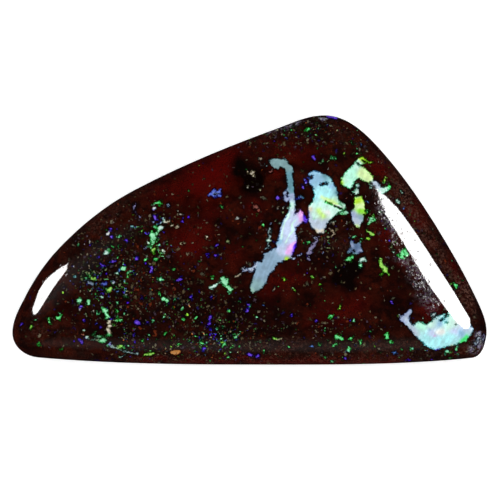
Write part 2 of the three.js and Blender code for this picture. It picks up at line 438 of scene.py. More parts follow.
# Wisps and flecks that lie on their own, as (x, y, size) or as strokes (x, y, x, y, size).
opalFlecks = {
    "white": [
        (237, 218, 1.2), (378.5, 213, 1), (109, 233, 1.2), (148, 242.7, 1.1), (153.8, 208.1, 1.2),
        (126.9, 294, 1), (163.4, 251.6, 0.9),
    ],
    "mintWhite": [
        (211.5, 287.8, 214, 285.5, 1.9), (219, 282.5, 1.2), (356, 191.5, 1.8), (370.5, 186, 1.4),
        (398, 202, 1.5), (361.5, 260.5, 363.5, 259.5, 1.6), (365.5, 260.5, 1.3), (401.5, 192, 1.1),
        (269, 241, 1.6), (393.5, 250.5, 1.3), (101, 297, 0.9), (115.7, 273.2, 1),
        (105, 253.5, 107, 251.5, 1.1), (82.9, 331, 1), (87, 338.2, 1), (95.4, 339.2, 1),
        (90.6, 340.5, 0.9), (161.5, 228, 158.5, 229.5, 1), (163.4, 219.5, 163.6, 222, 1),
    ],
    "leafMint": [
        (224, 280.5, 226.5, 284, 2.4), (228, 279.5, 1.1), (226.5, 286, 230.5, 289.5, 1.9),
        (222, 284, 1), (124, 267.5, 2.4), (128.3, 273.6, 1.3), (372, 218, 369, 222.5, 1.5),
        (373.5, 220.5, 1.3), (158, 229.5, 154, 234.5, 1.3), (151, 234.5, 155, 236.5, 1.9),
        (152, 239, 1.2), (156.5, 237, 0.8), (340, 213, 347.5, 213, 1), (152.6, 241, 150.6, 246, 1.2),
        (447, 352, 1.5), (456, 348, 1.3), (411, 349.5, 1.2), (102.5, 309, 105.5, 311.5, 1.5),
        (106.5, 313, 107.5, 316, 1.4), (105.5, 318.5, 0.8), (235, 336.5, 1.8),
        (163.5, 299, 167, 301, 1.2), (182, 309.5, 1), (103.3, 340, 2.6), (107.8, 335.7, 1),
        (99.5, 335.6, 1.2), (78, 301.5, 80.5, 299, 1), (87.5, 302.5, 1.3), (268.5, 339, 1),
        (108.3, 345.7, 1.1),
    ],
    "aqua": [(74.5, 275.8, 1.4), (348, 350, 1.2), (132, 226.5, 1)],
    "green": [
        (156, 203.8, 160.5, 202.5, 1.3), (159.5, 205, 1.1), (153.4, 203.8, 1), (155.6, 259.6, 1.5),
        (150.7, 230.6, 1.1), (155.6, 226.8, 1), (229, 311, 1.5), (336.5, 337, 340.5, 338.5, 1.8),
        (352, 338, 1.6), (349, 348, 1.2), (307, 128.5, 1.7), (454, 284, 455.5, 286.5, 1.2),
        (391.5, 342, 1), (58, 317, 2), (61.5, 313.5, 1.1), (48, 319, 1.2), (39.5, 344, 1.1),
        (61.5, 350, 1.2), (86, 278, 89, 276, 0.8), (115, 318.5, 121.5, 320.3, 0.8), (118, 317, 0.6),
        (116, 311, 1.1), (117, 308.5, 0.8), (348, 259.5, 352.5, 257.5, 1.7), (388, 338, 386, 334, 1),
        (109, 250, 0.8), (179, 344, 1.2), (124, 346.8, 1.1), (217, 328, 1.1),
        (223.5, 345.5, 225, 344, 1.1), (165, 334, 1), (142, 340, 1.1), (212, 278, 1.1), (184, 320, 1),
        (196, 317, 1), (314.5, 218, 0.8), (335, 345, 1.3), (307.5, 241.5, 1.2), (361.5, 239.5, 1),
        (333, 315, 330.5, 318, 0.9), (401, 256.5, 402.5, 252, 2), (404.5, 250, 406.5, 254.5, 1.6),
    ],
    "yellowGreen": [
        (152.5, 251, 153, 249.5, 1), (153, 249, 157, 248, 0.8), (153.2, 251.5, 154.5, 253.5, 0.9),
        (141.8, 231, 0.9), (92, 278, 95, 279, 1.1), (107, 290.5, 109.5, 289.5, 1.4), (110.5, 287.5, 1),
        (119.2, 346.5, 1.5), (380.5, 259.5, 382, 264, 1.2), (382.5, 266, 384.5, 270.5, 2),
        (386.5, 268.5, 0.9), (382, 274, 0.9), (367.5, 231, 372.5, 234, 1.2), (388.5, 275, 1.1),
        (320.5, 285, 1.2), (312, 277.5, 0.9), (30.5, 328, 1.1), (145, 354.5, 155, 353, 0.8),
        (294.5, 289, 0.8), (373.5, 216, 0.9), (275, 339, 1), (89.4, 257.6, 0.8),
    ],
    "lime": [(384, 181, 386, 179, 1), (398.5, 315.5, 0.9), (345, 153.5, 1.1), (93.5, 279, 0.7)],
    "deepGreen": [
        (240, 302, 1), (322, 161.5, 1.1), (333, 158, 1.6), (84, 277, 88, 279, 0.8),
        (96, 332, 93, 336, 0.9), (126, 297, 1), (189, 340, 1), (370, 332, 0.9), (294, 126, 0.9),
        (284, 129, 0.9), (352, 143, 1.1), (60, 320, 0.9), (340, 203, 345, 209, 0.8),
    ],
    "cream": [
        (109.7, 321, 109.5, 327, 1.2), (107.5, 329, 110, 333, 1.4), (206, 237.5, 1.1),
        (166, 222, 169.5, 221.3, 0.7), (171.3, 226.2, 174, 224.3, 0.7), (177.5, 226.6, 0.9),
        (252, 174, 1.3), (248.7, 172, 0.8), (254.5, 171.5, 0.8), (253, 177.3, 0.6), (422, 318, 0.9),
        (272, 275.5, 0.8), (182.5, 244, 1), (311, 209, 0.8),
    ],
    "grey": [
        (165.5, 226, 0.9), (145.8, 256.5, 1), (93, 310.8, 1), (85, 264.5, 0.7), (79, 309.5, 0.8),
        (115.5, 342, 0.9), (180, 213.5, 182.5, 214.8, 0.6), (157.5, 214.5, 0.6), (177, 212, 0.8),
        (268, 165.5, 0.7), (248, 186, 0.7), (262, 186, 0.6), (282, 208, 0.8), (388, 226, 0.9),
        (392.5, 267.5, 1), (384, 213, 0.6), (386, 221, 0.6),
    ],
    "tan": [
        (240, 268.5, 247, 265, 0.7), (235, 277, 242, 273.5, 0.7), (278.5, 201.5, 0.8), (260.5, 159, 1),
        (333, 224.5, 1.4), (332, 231, 333, 236, 1.2), (274, 289, 1), (278, 207, 1.2), (97, 340, 0.9),
        (90, 267, 1), (164, 353, 1.1), (276, 340, 282, 339, 0.7), (330, 228, 0.8),
    ],
    "olive": [
        (82, 276.5, 83.5, 272.5, 0.6), (83.5, 272, 87, 271.5, 0.6), (87.5, 272, 89, 275, 0.6),
        (90.5, 275, 92, 278, 0.6), (93, 271.5, 96, 275, 0.6), (81.5, 278, 83, 281, 0.7),
        (103, 272, 106, 269.5, 0.7), (118.5, 287, 119.5, 284, 1), (120, 283, 121.5, 281, 0.7),
        (85.5, 314, 90, 319, 0.7), (227.5, 241, 1.6), (286.5, 207.5, 0.9), (283.5, 213, 0.9),
        (276.5, 221, 0.9), (279.5, 224.5, 0.9), (391, 246, 1.2), (327.5, 161, 1.2), (320.5, 161.5, 1.2),
        (328, 237, 1.3), (327.5, 247.5, 1.1), (94, 123, 1), (170, 253, 1), (181, 300, 1),
        (166.5, 242.5, 0.8), (148, 226.5, 0.7),
    ],
    "paleTeal": [
        (109.5, 346.5, 115.5, 348, 1), (116, 348.5, 137.5, 354, 0.6), (270, 228, 270, 240, 0.7),
        (269, 244, 266.5, 249.5, 0.8), (120, 358, 124, 356, 0.6), (357.5, 186, 1.7), (265, 162.5, 0.9),
        (431, 316, 436, 314, 1),
    ],
    "duskBlue": [
        (215.5, 193, 218.5, 193.5, 1.2), (86.8, 282.5, 92.5, 285, 0.8), (169.2, 205.4, 1.4),
        (154, 221.5, 0.9), (126, 311, 0.9),
    ],
    "blue": [
        (210.5, 194, 213.5, 195.5, 1.5), (213, 192, 220, 191, 1.4), (217, 197.5, 220, 194.5, 1.3),
        (214, 197.5, 1.2), (102.5, 285, 106.5, 282.5, 0.9), (158.5, 224, 161.5, 221.5, 0.8),
        (297, 198.5, 301.5, 197, 0.6), (96, 323, 0.9),
    ],
    "violet": [
        (154, 216, 156, 219.5, 1.5), (151, 267.5, 152, 270.5, 1.6), (127, 241, 1.6), (21.5, 324, 1.1),
        (79, 341, 82, 342.5, 1.2), (100.8, 327.4, 1.4), (110.5, 229, 1), (112.5, 236, 1.1),
        (91, 245, 0.9), (112, 262.5, 115, 260.5, 1), (104.6, 266.2, 1.1), (101, 265, 0.9),
        (177, 281, 181.5, 279, 1.2), (136.5, 322, 139, 324, 1.5), (147, 322.5, 1.4),
        (211, 317, 211, 320, 1.1), (210, 323.5, 1.1), (210, 329, 1.2), (203, 350, 1.4), (191, 298, 1.3),
        (247, 309.5, 1.5), (293, 316, 1), (248, 353, 250.5, 354.5, 1.5), (258, 357, 1.5),
        (346, 358, 1.2), (278, 197.5, 1.2), (306.5, 179.5, 306.5, 182, 1.2), (314, 156, 315, 159, 1.3),
        (142, 298, 1), (81, 306.4, 1.1), (137.5, 258, 1.2), (207.5, 254.5, 1.3), (217, 256, 1.2),
        (216.5, 245, 0.9), (182.9, 220.8, 1.2), (164, 232, 0.9), (391, 303, 1.2), (224, 341, 1),
        (316, 320, 1), (133, 335, 1), (211, 298, 1.1), (328, 116.5, 336, 118, 1.6),
        (305, 219, 305.5, 222, 1), (248, 304, 1), (84.8, 320.7, 1.1), (110.3, 343, 0.8),
        (302, 186.5, 1),
    ],
    # The mist stroke at the lower right corner is a painted highlight.
    "mist": [(475.5, 344, 481, 338, 0.9)],
    "lavender": [
        (293, 259, 300.5, 255, 0.7), (270, 224, 0.7), (243, 269.5, 246, 271, 0.9),
        (246, 271, 251, 269, 0.9), (251, 271, 255, 264, 0.9), (113.2, 281, 113.2, 283.5, 0.8),
        (323, 252.5, 0.7),
    ],
    "duskLavender": [
        (318, 237, 312.5, 246, 1.4), (312.5, 246, 309, 253, 1.8), (309, 253, 307.5, 259, 1.3),
        (146, 247.5, 1.2), (87, 263, 0.8), (139, 216, 1), (135, 203, 135, 212, 0.7), (126, 323, 0.9),
        # The last stroke, at the lower right corner, is painted sheen.
        (484, 335, 484.5, 342, 0.8),
    ],
    "amber": [(172, 353, 177.5, 351.5, 2.2), (175, 350, 1.3), (165.5, 190, 0.8)],
    "rust": [(81.5, 334, 84, 335.5, 0.7)],
    "red": [(255, 207, 257.5, 208.5, 1.8), (269.5, 172, 272.5, 171, 1.1)],
}


tiny = 1e-9  # in place of a length of zero, so that nothing is divided by it

# How the marks are laid, with lengths in the photograph's pixels. A bend moves each place by up to half
# its reach either way, by soft noise in cells of the given length.
brush = {
    "dabBend": {"cell": 7, "reach": 4, "seeds": (11, 12)},
    "fleckBend": {"cell": 3.2, "reach": 3.4, "seeds": (13, 14)},
    "groundBend": {"cell": 9, "reach": 9, "seeds": (21, 22)},
    "farOutside": -30.0,  # depth before anything is drawn
    "fleckWidening": 1.1,
    "fleckMargin": 0.3,
    "coreSize": 0.7,  # of the pale dab in a fleck, as a share of the fleck's size
    "rimShare": 0.92,  # of a fleck's own colour in its rim
    "coreShare": 0.2,  # of a fleck's own colour in its core
    "corePaleness": 204,  # added to that share, in each channel
    "dabSoftness": 0.3,
    "dabPower": 4,
    "wallFire": 0.3,  # least pinfire for each millimetre down the wall
}


# A plane bent by two soft noises, so that nothing drawn on it has straight or round edges.
def bendPlaces(places, cell, reach, seeds):
    noise = np.stack([softNoise(places, cell, seed) for seed in seeds], axis=-1)
    return places + (noise - 0.5) * reach


# Marks as strokes: a dab is a stroke that starts and ends in one place.
def asStrokes(marks):
    return np.array([mark if len(mark) == 5 else (*mark[:2], *mark) for mark in marks], dtype=float)


# Distance from every point to the nearest point of a straight stroke.
def distanceToStroke(points, x0, y0, x1, y1):
    way = np.array([x1 - x0, y1 - y0])
    fromStart = points - np.array([x0, y0])
    share = np.clip((fromStart @ way) / max(way @ way, tiny), 0, 1)
    return np.hypot(*(fromStart - share[:, None] * way).T)


# How deep every point lies inside a closed outline, less than nothing outside it. A point is inside
# when a line going right from it crosses the outline an odd number of times.
def depthInPatch(points, corners):
    a = np.array(corners, dtype=float)
    b = np.roll(a, -1, axis=0)
    distance = np.min([distanceToStroke(points, *p, *q) for p, q in zip(a, b)], axis=0)
    x, y = points.T[:, :, None]
    straddles = (a[:, 1] > y) != (b[:, 1] > y)
    rise = np.where(a[:, 1] == b[:, 1], tiny, b[:, 1] - a[:, 1])
    crossing = a[:, 0] + (y - a[:, 1]) / rise * (b[:, 0] - a[:, 0])
    inside = (straddles & (x < crossing)).sum(axis=1) % 2 == 1
    return np.where(inside, distance, -distance)


# Where the camera sees each point, in the photograph's pixels: its offset from the camera's axis is
# scaled by the camera's height over its depth below the camera.
def photoPlaces(points):
    scale, (midX, midY), (eyeX, eyeY) = photo["pixelsPerMm"], photo["stoneMiddle"], photo["cameraMiddle"]
    eye = np.array([(eyeX - midX) / scale, (midY - eyeY) / scale])
    nearness = photo["cameraHeight"] / (photo["cameraHeight"] + stone["girdleHeight"] - points[:, 2])
    seen = eye + (points[:, :2] - eye) * nearness[:, None]
    return np.stack([midX + seen[:, 0] * scale, midY - seen[:, 1] * scale], axis=-1)


# Depth in millimetres inside the nearest seam or fleck, and the colour there. A fleck is as deep as
# fleckWidening x size + fleckMargin less the distance to its stroke. Each dab of colour counts by
# (size / (distance + dabSoftness x size))^dabPower, and each fleck has a second, paler dab as its core.
def paintOpal(places):
    bent = bendPlaces(places, **brush["dabBend"])
    rippled = bendPlaces(places, **brush["fleckBend"])
    depth = np.full(len(places), brush["farOutside"])
    dabs, tints = [], []
    for seam in opalSeams.values():
        for corners in seam["patches"]:
            depth = np.maximum(depth, depthInPatch(places, corners))
        for *ends, size in asStrokes(seam["gaps"]):
            depth = np.minimum(depth, distanceToStroke(places, *ends) - size)
        for name, marks in seam["colours"].items():
            dabs.append(asStrokes(marks))
            tints += [opalColours[name]] * len(marks)
    for name, marks in opalFlecks.items():
        strokes = asStrokes(marks)
        for *ends, size in strokes:
            halfWidth = brush["fleckWidening"] * size + brush["fleckMargin"]
            depth = np.maximum(depth, halfWidth - distanceToStroke(rippled, *ends))
        dabs += [strokes, strokes * (1, 1, 1, 1, brush["coreSize"])]
        rimTint = brush["rimShare"] * np.array(opalColours[name])
        coreTint = brush["coreShare"] * np.array(opalColours[name]) + brush["corePaleness"]
        tints += [rimTint] * len(marks) + [coreTint] * len(marks)
    total = np.zeros(len(places))
    mixed = np.zeros((len(places), 3))
    for (*ends, size), tint in zip(np.vstack(dabs), tints):
        softened = distanceToStroke(bent, *ends) + brush["dabSoftness"] * size
        weight = (size / softened) ** brush["dabPower"]
        total += weight
        mixed += weight[:, None] * tint
    return depth / photo["pixelsPerMm"], linearColour(*(mixed / total[:, None]).T).T


# Where the ironstone is redder or blacker, and where sparks, threads, pits, painted sheen, and dust with
# painted sheen lie: each a sum of soft spots (x, y, radius, strength) or soft strokes (x, y, x, y, radius,
# strength).
groundSpots = {
    "redGround": [
        (197, 182, 228, 172, 17, 0.85), (205, 162, 235, 152, 11, 0.5), (162, 196, 175, 190, 12, 0.5),
        (180, 228, 185, 250, 12, 0.4), (196, 248, 212, 214, 13, 0.5), (255, 208, 9, 0.7),
        (275, 170, 8, 0.6), (235, 256, 12, 0.4), (268, 290, 295, 276, 13, 0.5),
        (335, 315, 352, 306, 14, 0.55), (320, 322, 14, 0.4), (305, 150, 268, 140, 14, 0.4),
        (372, 160, 380, 172, 7, 0.7), (382, 236, 394, 246, 8, 0.7), (402, 262, 8, 0.4),
        (408, 208, 420, 224, 6, 0.6), (452, 262, 462, 280, 7, 0.5), (432, 242, 6, 0.4),
        (440, 308, 425, 312, 8, 0.6), (160, 290, 12, 0.3), (140, 359, 400, 362, 4, 0.8),
        (395, 160, 430, 215, 5, 0.4),
    ],
    "blackGround": [
        (248, 178, 13, 1.5), (241, 163, 11, 0.75), (256, 184, 8, 0.8), (345, 276, 14, 1.5),
        (354, 271, 9, 1.1), (337, 281, 7, 1.1), (220, 222, 7, 1.0), (246, 236, 9, 0.9),
        (331, 222, 7, 0.9), (351, 194, 6, 0.9), (301, 236, 7, 0.8), (300, 197, 6, 0.8),
        (347, 226, 7, 0.8), (398, 254, 5, 0.9), (412, 285, 7, 0.9), (426, 236, 5, 0.6),
        (441, 253, 4, 0.6), (240, 318, 290, 330, 20, 0.5), (330, 330, 18, 0.5), (105, 318, 14, 0.5),
        (150, 330, 16, 0.45), (170, 205, 8, 0.5), (255, 300, 320, 305, 10, 0.4), (90, 300, 10, 0.5),
        (400, 320, 12, 0.6), (345, 206, 6, 0.8), (366, 200, 5, 0.7), (315, 240, 5, 0.5),
    ],
    "pinfire": [
        (85, 275, 150, 225, 22, 0.5), (105, 255, 125, 330, 26, 0.8), (150, 280, 225, 335, 30, 0.9),
        (130, 345, 230, 345, 14, 0.5), (240, 325, 330, 340, 20, 0.38), (340, 335, 410, 345, 18, 0.45),
        (60, 325, 24, 0.3), (255, 140, 320, 128, 14, 0.8), (320, 130, 360, 150, 14, 0.6),
        (390, 190, 470, 330, 14, 0.35), (300, 235, 340, 250, 16, 0.5), (225, 245, 16, 0.35),
        (210, 215, 18, 0.15), (310, 280, 26, 0.25), (440, 352, 16, 0.6), (350, 225, 375, 235, 12, 0.4),
        (255, 225, 12, 0.3),
    ],
    "lacework": [
        (80, 278, 125, 262, 12, 0.75), (100, 290, 125, 285, 10, 0.7), (100, 300, 125, 345, 16, 0.6),
        (140, 225, 165, 250, 14, 0.7), (150, 290, 220, 335, 30, 0.55), (130, 348, 230, 345, 12, 0.4),
        (340, 338, 410, 345, 16, 0.2), (255, 140, 330, 128, 12, 0.6), (350, 190, 392, 240, 12, 0.5),
        (320, 225, 335, 245, 8, 0.7), (400, 200, 450, 290, 9, 0.3), (430, 352, 470, 348, 9, 0.6),
        (240, 330, 300, 345, 14, 0.25),
    ],
    "pitted": [
        (379, 203, 393, 232, 6, 1.0), (395, 240, 417, 277, 6, 1.0), (414, 278, 437, 306, 6, 1.0),
    ],
    # Painted sheen: a pale reflection at the lower right corner, along the top rim and beside the long
    # highlight.
    "paintedSheen": [
        (474, 348, 484, 336, 3, 1.3), (322, 117.5, 338, 117, 1.7, 1.0),
        (272, 129.5, 298, 120.5, 1.5, 0.7), (382, 203, 395, 234, 4.5, 0.45),
        (404, 256, 434, 304, 6, 0.26),
    ],
    # Dust with painted sheen: mostly a pale speckled reflection beside the long highlight, along the bottom
    # and top rims and near the left highlight.
    "dustAndSheen": [
        (394, 180, 468, 300, 7, 1.2), (461, 280, 475, 320, 5, 0.9), (120, 346, 420, 346, 8, 0.6),
        (120, 358, 420, 361, 5, 0.65), (55, 245, 150, 185, 8, 0.25), (384, 203, 430, 285, 12, 0.6),
        (330, 125, 400, 172, 7, 0.45), (430, 352, 475, 349, 7, 0.8), (255, 140, 320, 124, 8, 0.4),
        (100, 225, 150, 290, 26, 0.3), (35, 330, 80, 350, 14, 0.3), (70, 262, 95, 300, 12, 0.35),
        (312, 238, 345, 245, 9, 0.4),
    ],
}


# The sum of strength x exp(-(distance / radius)^2) over the spots, on a bent plane.
def spotField(places, spots):
    bent = bendPlaces(places, **brush["groundBend"])
    field = np.zeros(len(places))
    for *ends, radius, strength in spots:
        stroke = ends if len(ends) == 4 else ends * 2
        field += strength * np.exp(-(distanceToStroke(bent, *stroke) / radius) ** 2)
    return field


def addAttribute(name, kind, label, values):
    stoneMesh.attributes.new(name, kind, "POINT").data.foreach_set(label, values)


# Below the widest outline the surface is unrolled outwards, so that nothing drawn runs down the wall.
below = np.clip(stone["girdleHeight"] - vertices[:, 2], 0, None)
unrolled = vertices.copy()
unrolled[:-2, :2] += np.tile(outwards, (gridSize[0], 1)) * below[:-2, None]
places = photoPlaces(unrolled)
opalDepth, opalTint = paintOpal(places)
opalDepth[onBack] = -1  # no seam or fleck is drawn on the back
addAttribute("opalDepth", "FLOAT", "value", opalDepth)
addAttribute("opalTint", "FLOAT_COLOR", "color", np.column_stack([opalTint, np.ones(len(opalTint))]).ravel())
for name, spots in groundSpots.items():
    field = spotField(places, spots)
    if name in ("pinfire", "lacework"):
        field = np.maximum(field, brush["wallFire"] * np.clip(below, 0, 1))
    addAttribute(name, "FLOAT", "value", field)
print("opal seams and flecks painted")


# Small helpers for shader nodes. A socket can be fed by a number, a colour or another node's output.

def feed(tree, sockets, values):
    for label, value in values.items():
        if isinstance(value, bpy.types.NodeSocket):
            tree.links.new(value, sockets[label])
        else:
            sockets[label].default_value = value


# A node with its settings, and its input sockets fed by label or by number.
def addNode(tree, kind, inputs=None, **settings):
    made = tree.nodes.new("ShaderNode" + kind)
    for name, value in settings.items():
        setattr(made, name, value)
    feed(tree, made.inputs, inputs or {})
    return made


def calculate(tree, operation, *values):
    return addNode(tree, "Math", dict(enumerate(values)), operation=operation).outputs[0]


def multiply(tree, *values):
    return calculate(tree, "MULTIPLY", *values)


# From low to high the result goes from toLow to toHigh, with soft ends.
def remap(tree, value, low, high, toLow=0.0, toHigh=1.0):
    given = dict(enumerate((value, low, high, toLow, toHigh)))
    return addNode(tree, "MapRange", given, interpolation_type="SMOOTHSTEP").outputs[0]


def blendColours(tree, share, first, second, blend="MIX"):
    given = {0: share, 6: first, 7: second}  # the Mix node's colours are its sockets 6 and 7
    return addNode(tree, "Mix", given, data_type="RGBA", blend_type=blend).outputs[2]


def shadeColour(tree, colour, shade):
    return blendColours(tree, 1.0, colour, shade, "MULTIPLY")


def vectorMath(tree, operation, *values):
    made = addNode(tree, "VectorMath", dict(enumerate(values)), operation=operation)
    return made.outputs["Value" if operation == "LENGTH" else "Vector"]


def scaleVector(tree, vector, scale):
    return addNode(tree, "VectorMath", {0: vector, "Scale": scale}, operation="SCALE").outputs[0]


# Noise by the size of its cells, in the units of the place.
def addNoise(tree, place, cell, detail, roughness=0.5, output="Fac"):
    given = {"Vector": place, "Scale": 1 / cell, "Detail": detail, "Roughness": roughness}
    return addNode(tree, "TexNoise", given).outputs[output]


# A colour for each stretch of the value: each stop's colour holds until the next stop.
def pickColour(tree, value, stops):
    made = addNode(tree, "ValToRGB", {0: value})
    made.color_ramp.interpolation = "CONSTANT"
    elements = made.color_ramp.elements
    while len(elements) < len(stops):
        elements.new(0.5)
    for element, (position, colour) in zip(elements, stops):
        element.position = position
        element.color = shaderColour(*colour)
    return made.outputs[0]


socketKinds = {"Place": "Vector", "Bent": "Vector", "Color": "Color"}  # the others are numbers


# A new group with the labels of its inputs and outputs.
def newGroup(name, inputs, outputs):
    tree = bpy.data.node_groups.new(name, "ShaderNodeTree")
    for way, labels in (("INPUT", inputs), ("OUTPUT", outputs)):
        for label in labels:
            kind = "NodeSocket" + socketKinds.get(label, "Float")
            tree.interface.new_socket(label, in_out=way, socket_type=kind)
    return tree, tree.nodes.new("NodeGroupInput").outputs, tree.nodes.new("NodeGroupOutput").inputs


def useGroup(tree, group, **values):
    return addNode(tree, "Group", values, node_tree=group).outputs


# Patterns of the stone. A noise is given as its cell in millimetres, its detail and its roughness.

# A place on the stone in millimetres, and the same place bent a little so that no pattern on it has
# round or straight edges.
def makeStonePlace():
    tree, given, wanted = newGroup("stonePlace", ["Bend"], ["Place", "Bent"])
    place = scaleVector(tree, addNode(tree, "TexCoord").outputs["Object"], 1 / mm)
    wobble = addNoise(tree, place, cell=0.3, detail=3, output="Color")
    offset = scaleVector(tree, vectorMath(tree, "SUBTRACT", wobble, (0.5, 0.5, 0.5)), given["Bend"])
    feed(tree, wanted, {"Place": place, "Bent": vectorMath(tree, "ADD", place, offset)})
    return tree


rockLook = {
    "blotches": (2.2, 4, 0.6),
    "mottling": (0.8, 4, 0.6),
    "grain": (0.14, 3, 0.6),
    "darkBrown": shaderColour(30, 5, 2),
    "midBrown": shaderColour(54, 15, 6),
    "mottle": shaderColour(14, 3, 2),
    "red": shaderColour(72, 4, 2),
    "black": shaderColour(8, 2, 1),
}


# Brown ironstone: soft blotches, finer mottling and a dark grain, redder and blacker where asked.
def makeIronstone(look):
    tree, given, wanted = newGroup("ironstone", ["Place", "Red", "Black"], ["Color", "Grain"])
    blotches = addNoise(tree, given["Place"], *look["blotches"])
    mottling = addNoise(tree, given["Place"], *look["mottling"])
    grain = addNoise(tree, given["Place"], *look["grain"])
    rock = blendColours(tree, remap(tree, blotches, 0.35, 0.68), look["darkBrown"], look["midBrown"])
    rock = blendColours(tree, remap(tree, mottling, 0.45, 0.62, 0.0, 0.85), rock, look["mottle"])
    redness = multiply(tree, given["Red"], remap(tree, blotches, 0.3, 0.55, 0.5, 1.0))
    rock = blendColours(tree, calculate(tree, "MINIMUM", redness, 1.0), rock, look["red"])
    blackness = multiply(tree, given["Black"], remap(tree, mottling, 0.35, 0.6, 0.8, 1.0))
    rock = blendColours(tree, calculate(tree, "MINIMUM", blackness, 1.0), rock, look["black"])
    rock = shadeColour(tree, rock, remap(tree, grain, 0.3, 0.72, 1.2, 0.7))
    feed(tree, wanted, {"Color": rock, "Grain": grain})
    return tree


# Bands of a pattern: each rises from nothing at its first share of the way out to full at its second.
def makeBands(tree, share, present, bands):
    return {name: multiply(tree, remap(tree, share, *ends), present) for name, ends in bands.items()}


fleckLook = {
    "leastRadius": 0.55,  # the largest is 1 more; both are shares of Size
    "turning": 40.0,  # radians, times a random number
    "chips": (0.13, 2, 0.6),
    "chipReach": (0.55, 1.6),
    "bands": {"Mask": (1.1, 0.4), "Core": (0.8, 0.15), "Halo": (2.2, 1.0)},
}


# Scattered flecks: one to a cell of loose 3-D cells, in an Amount of the cells, each of its own size and
# turned its own way, Stretch times longer than wide, with a chipped edge. Core rises towards the middle,
# Halo is the band just outside, and Pick and Glow are random numbers, the same all over a fleck.
def makeFlecks(look):
    tree, given, wanted = newGroup(
        "scatteredFlecks",
        ["Place", "Cell", "Size", "Amount", "Stretch"],
        ["Mask", "Core", "Halo", "Pick", "Glow"],
    )
    cellScale = calculate(tree, "DIVIDE", 1.0, given["Cell"])
    cells = addNode(tree, "TexVoronoi", {"Vector": given["Place"], "Scale": cellScale})
    presence, pick, glow = addNode(tree, "SeparateColor", {0: cells.outputs["Color"]}).outputs
    present = calculate(tree, "LESS_THAN", presence, given["Amount"])
    radius = multiply(tree, given["Size"], calculate(tree, "ADD", look["leastRadius"], glow))
    fromMiddle = vectorMath(tree, "SUBTRACT", given["Place"], cells.outputs["Position"])
    turn = {"Vector": fromMiddle, "Angle": multiply(tree, glow, look["turning"])}
    turned = addNode(tree, "VectorRotate", turn, rotation_type="Z_AXIS").outputs[0]
    longer = addNode(tree, "CombineXYZ", {0: 1.0, 1: given["Stretch"], 2: 1.0}).outputs[0]
    reach = vectorMath(tree, "LENGTH", vectorMath(tree, "MULTIPLY", turned, longer))
    chips = addNoise(tree, given["Place"], *look["chips"])
    reach = multiply(tree, reach, remap(tree, chips, 0.32, 0.68, *look["chipReach"]))
    bands = makeBands(tree, calculate(tree, "DIVIDE", reach, radius), present, look["bands"])
    feed(tree, wanted, {**bands, "Pick": pick, "Glow": glow})
    return tree


threadLook = {
    "winding": (0.52, 2, 0.6),
    "swelling": (0.2, 1, 0.5),
    "breaks": (0.38, 2, 0.6),
    "drift": (0.9, 2, 0.6),
    "breakLevel": 0.74,  # least height of the breaks noise where a thread shows, with Amount at nothing
    "breakShare": 0.24,  # how far an Amount of 1 brings that level down
    "bands": {"Mask": (1.0, 0.35), "Core": (0.6, 0.0), "Halo": (2.4, 1.0)},
}


# Broken threads of fire: the lines along which a noise passes its middle value, where a second noise
# is high. Pick drifts along the threads.
def makeThreads(look):
    tree, given, wanted = newGroup(
        "fireThreads", ["Place", "Amount", "Width"], ["Mask", "Core", "Halo", "Pick"]
    )
    winding = addNoise(tree, given["Place"], *look["winding"])
    swelling = addNoise(tree, given["Place"], *look["swelling"])
    breaks = addNoise(tree, given["Place"], *look["breaks"])
    drift = addNoise(tree, given["Place"], *look["drift"])
    offLine = calculate(tree, "ABSOLUTE", calculate(tree, "SUBTRACT", winding, 0.5))
    width = multiply(tree, given["Width"], remap(tree, swelling, 0.3, 0.7, 0.3, 1.7))
    lowered = multiply(tree, given["Amount"], look["breakShare"])
    level = calculate(tree, "SUBTRACT", look["breakLevel"], lowered)
    present = remap(tree, breaks, level, calculate(tree, "ADD", level, 0.05))
    bands = makeBands(tree, calculate(tree, "DIVIDE", offLine, width), present, look["bands"])
    feed(tree, wanted, {**bands, "Pick": remap(tree, drift, 0.3, 0.7)})
    return tree


seamLook = {
    "coarse": (0.32, 3, 0.6),
    "coarseReach": 0.36,
    "fine": (0.11, 2, 0.5),
    "fineReach": 0.3,
    "bands": {"Mask": (-0.035, 0.045), "Core": (0.02, 0.11), "Halo": (-0.17, -0.01)},  # millimetres deep
}


# The broken edge of a seam: its depth in millimetres, roughened by a coarse and a fine noise. Mask
# begins where the rough depth passes nothing, Core lies further in, and Halo begins outside it.
def makeSeamEdge(look):
    tree, given, wanted = newGroup("seamEdge", ["Place", "Depth"], ["Mask", "Core", "Halo"])
    coarse = calculate(tree, "SUBTRACT", addNoise(tree, given["Place"], *look["coarse"]), 0.5)
    fine = calculate(tree, "SUBTRACT", addNoise(tree, given["Place"], *look["fine"]), 0.5)
    shift = multiply(tree, coarse, look["coarseReach"])
    jitter = multiply(tree, fine, look["fineReach"])
    rough = calculate(tree, "ADD", given["Depth"], calculate(tree, "ADD", shift, jitter))
    feed(tree, wanted, {name: remap(tree, rough, *ends) for name, ends in look["bands"].items()})
    return tree


stonePlace = makeStonePlace()
ironstone = makeIronstone(rockLook)
scatteredFlecks = makeFlecks(fleckLook)
fireThreads = makeThreads(threadLook)
seamEdge = makeSeamEdge(seamLook)

